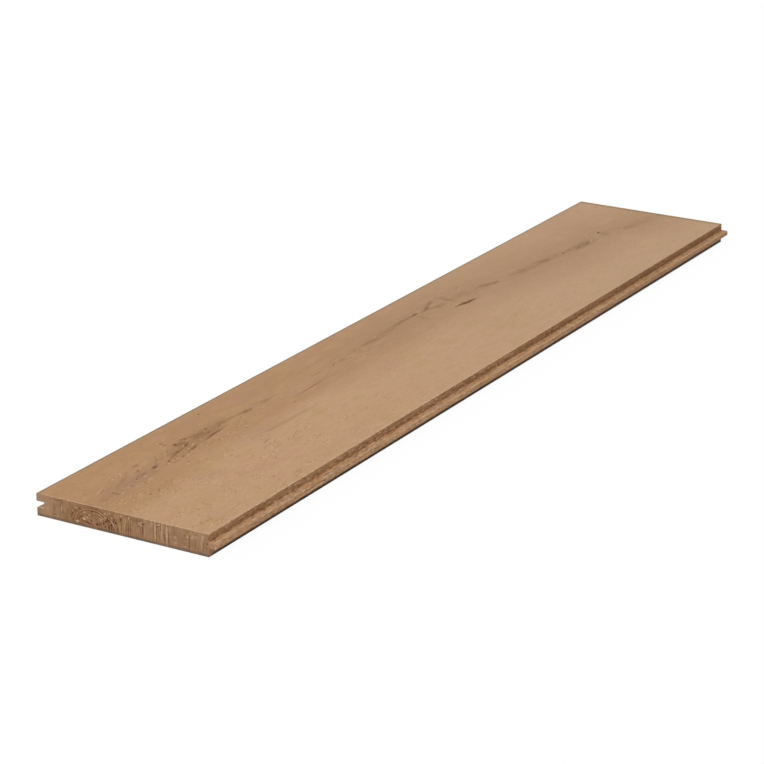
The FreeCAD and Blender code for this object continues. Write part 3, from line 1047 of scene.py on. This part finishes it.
def end_low_greys(t, p, color):
    """Greyer at the lips' outer ends, and darker in grey patches along the lower edge."""
    x, _, z = t.split(p)
    color = t.tinted(color, OUTLINE_GREY, x, GROOVE_SIDE + 0.8, GROOVE_SIDE + 3.2, 0.2, 0)
    lower = t.ease(x, GROOVE_SIDE + 3, GROOVE_SIDE + 7, 0.36, 0)
    color = t.mix(t.times(lower, t.fall(z, 7, 9)), color, OUTLINE_GREY)
    low_patches = t.lumps(p, 9, ENDLESS, 9, 2, seed=37)
    low = t.band(t.add(z, t.times(low_patches, 1.6)), 1.6, 0.5, 1.3)
    return t.mix(t.times(low, t.ease(low_patches, -0.2, 0.2, 0.45, 0.9)), color, LOW_EDGE_GREY)


def end_material():
    """The sawn ends, with their torn specks and pits and the marks of the near one."""
    material, t = new_material("oak_end_grain")
    p = object_point(t)
    wood = wood_fields(t, p)
    blotch = t.lumps(p, 8, ENDLESS, 12, 3, seed=31)
    color = end_wood(t, p, wood, blotch)
    specks = t.ease(t.lumps(p, 0.8, ENDLESS, 0.8, 1, seed=33), 0.1, 0.25)
    color = t.mix(t.times(specks, t.ease(wood.early, 0, 0.6, 0.2, 0.5)), color, END_RING)
    pits = t.ease(t.lumps(p, 1.6, ENDLESS, 1.6, 1, seed=35), 0.16, 0.26)
    color = t.mix(t.times(pits, 0.36), color, END_RING)
    color = end_hues(t, p, saw_lines(t, p, color))
    color = t.mix(end_field(t, p, END_TINTS), color, END_RED)
    color = t.mix(end_field(t, p, END_MARKS), color, END_MARK)
    color = t.mix(end_field(t, p, END_FLECKS), color, RAY_LIGHT)
    color = end_low_greys(t, p, color)
    roughness = t.add(0.72, t.times(blotch, 0.15))
    height = t.add(t.times(specks, -1), t.times(wood.early, -0.7))
    height = t.add(height, t.times(pits, -1))
    finish_shader(t, color, roughness, height, bump=0.12, gloss=0.12)
    return material


# The board

def make_board():
    """The whole board, in place of its plain CAD node."""
    mesh, sides = board_mesh(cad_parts[NODE])
    board = bpy.data.objects.new("board", mesh)
    bpy.context.scene.collection.objects.link(board)
    for material in (face_material(), raw_material(), end_material()):
        mesh.materials.append(material)
    # the materials by number: 0 for the walking face, 1 for the planed sides, 2 for the ends
    kinds = np.ones(len(mesh.polygons), np.int32)
    kinds[sides:] = 2
    centre = np.array([face.center for face in mesh.polygons])
    on_face = (centre[:, 2] > HIGH.z - FACE_ARRIS) & (kinds == 1)
    kinds[on_face] = 0
    mesh.polygons.foreach_set("material_index", kinds)
    mesh.polygons.foreach_set("use_smooth", np.ones(len(kinds), bool))
    mesh.attributes.new(END_ATTRIBUTE, "FLOAT", "POINT")
    ends = np.array([abs(v.co.y) > HIGH.y - SAME_PLACE for v in mesh.vertices], np.float32)
    mesh.attributes[END_ATTRIBUTE].data.foreach_set("value", ends)
    cut_relief(board)
    board.data.set_sharp_from_angle(angle=math.radians(SHARP_ANGLE))
    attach(board, "root")
    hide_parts(NODE)


# The stage: a white floor that keeps the board's soft shadow

def sees_background(t):
    """1 for a ray that shows the background itself: from the camera, or by way of a gloss."""
    path = t.node("ShaderNodeLightPath").outputs
    shown = t.most(path["Is Camera Ray"], path["Is Glossy Ray"])
    return t.most(shown, path["Is Transmission Ray"])


def make_floor():
    """A large white floor. Where it is looked at, it glows, so that only a pale shadow shows."""
    mesh = bpy.data.meshes.new("floor")
    r = FLOOR_REACH
    mesh.from_pydata([(-r, -r, 0), (r, -r, 0), (r, r, 0), (-r, r, 0)], [], [(0, 1, 2, 3)])
    floor = bpy.data.objects.new("floor", mesh)
    material, t = new_material("floor_white")
    grey = (FLOOR_GREY, FLOOR_GREY, FLOOR_GREY, 1.0)
    seen = sees_background(t)
    # a painted contact shadow: where the board touches it, the occlusion near the board darkens the
    # floor's glow, in a line that is widest at the far end
    around = t.node("ShaderNodeAmbientOcclusion", samples=16)
    around.inputs["Distance"].default_value = PAINTED_SHADOW_REACH
    _, y, _ = t.split(t.node("ShaderNodeTexCoord").outputs["Object"])
    beyond_painted_shadow = t.ease(around.outputs["AO"], 0.5, t.ease(y, LOW.y, HIGH.y, 0.55, 0.92))
    matt = t.node("ShaderNodeBsdfDiffuse", t.mix(seen, grey, WHITE))
    glow = t.node("ShaderNodeEmission", WHITE, 1.0)
    share = t.times(seen, beyond_painted_shadow, FLOOR_GLOW)
    both = t.node("ShaderNodeMixShader", share, matt.outputs[0], glow.outputs[0])
    t.node("ShaderNodeOutputMaterial", both.outputs[0])
    mesh.materials.append(material)
    bpy.context.scene.collection.objects.link(floor)


def make_lamp(name, share, direction):
    """A large soft lamp that gives a level surface this share of full light."""
    lamp = bpy.data.lights.new(name, "SUN")
    lamp.angle = math.radians(LAMP_SOFTNESS)
    lamp.energy = share * math.pi / direction.normalized().z
    holder = bpy.data.objects.new(name, lamp)
    holder.rotation_euler = direction.to_track_quat("Z", "Y").to_euler()
    bpy.context.scene.collection.objects.link(holder)


def make_light():
    """A pale sky all round, a lamp above and in front, and a weaker one on the groove's side."""
    scene = bpy.context.scene
    world = bpy.data.worlds.new("studio")
    scene.world = world
    world.use_nodes = True
    world.node_tree.nodes.clear()
    t = Tree(world.node_tree)
    strength = t.node("ShaderNodeMapRange", sees_background(t), 0.0, 1.0, SKY_LIGHT, 1.0).outputs[0]
    background = t.node("ShaderNodeBackground", WHITE, strength)
    t.node("ShaderNodeOutputWorld", background.outputs[0])
    make_lamp("key", KEY_LIGHT, KEY_DIRECTION)
    make_lamp("fill", FILL_LIGHT, FILL_DIRECTION)
    scene.view_settings.view_transform = "Standard"


make_camera()
make_board()
make_floor()
make_light()
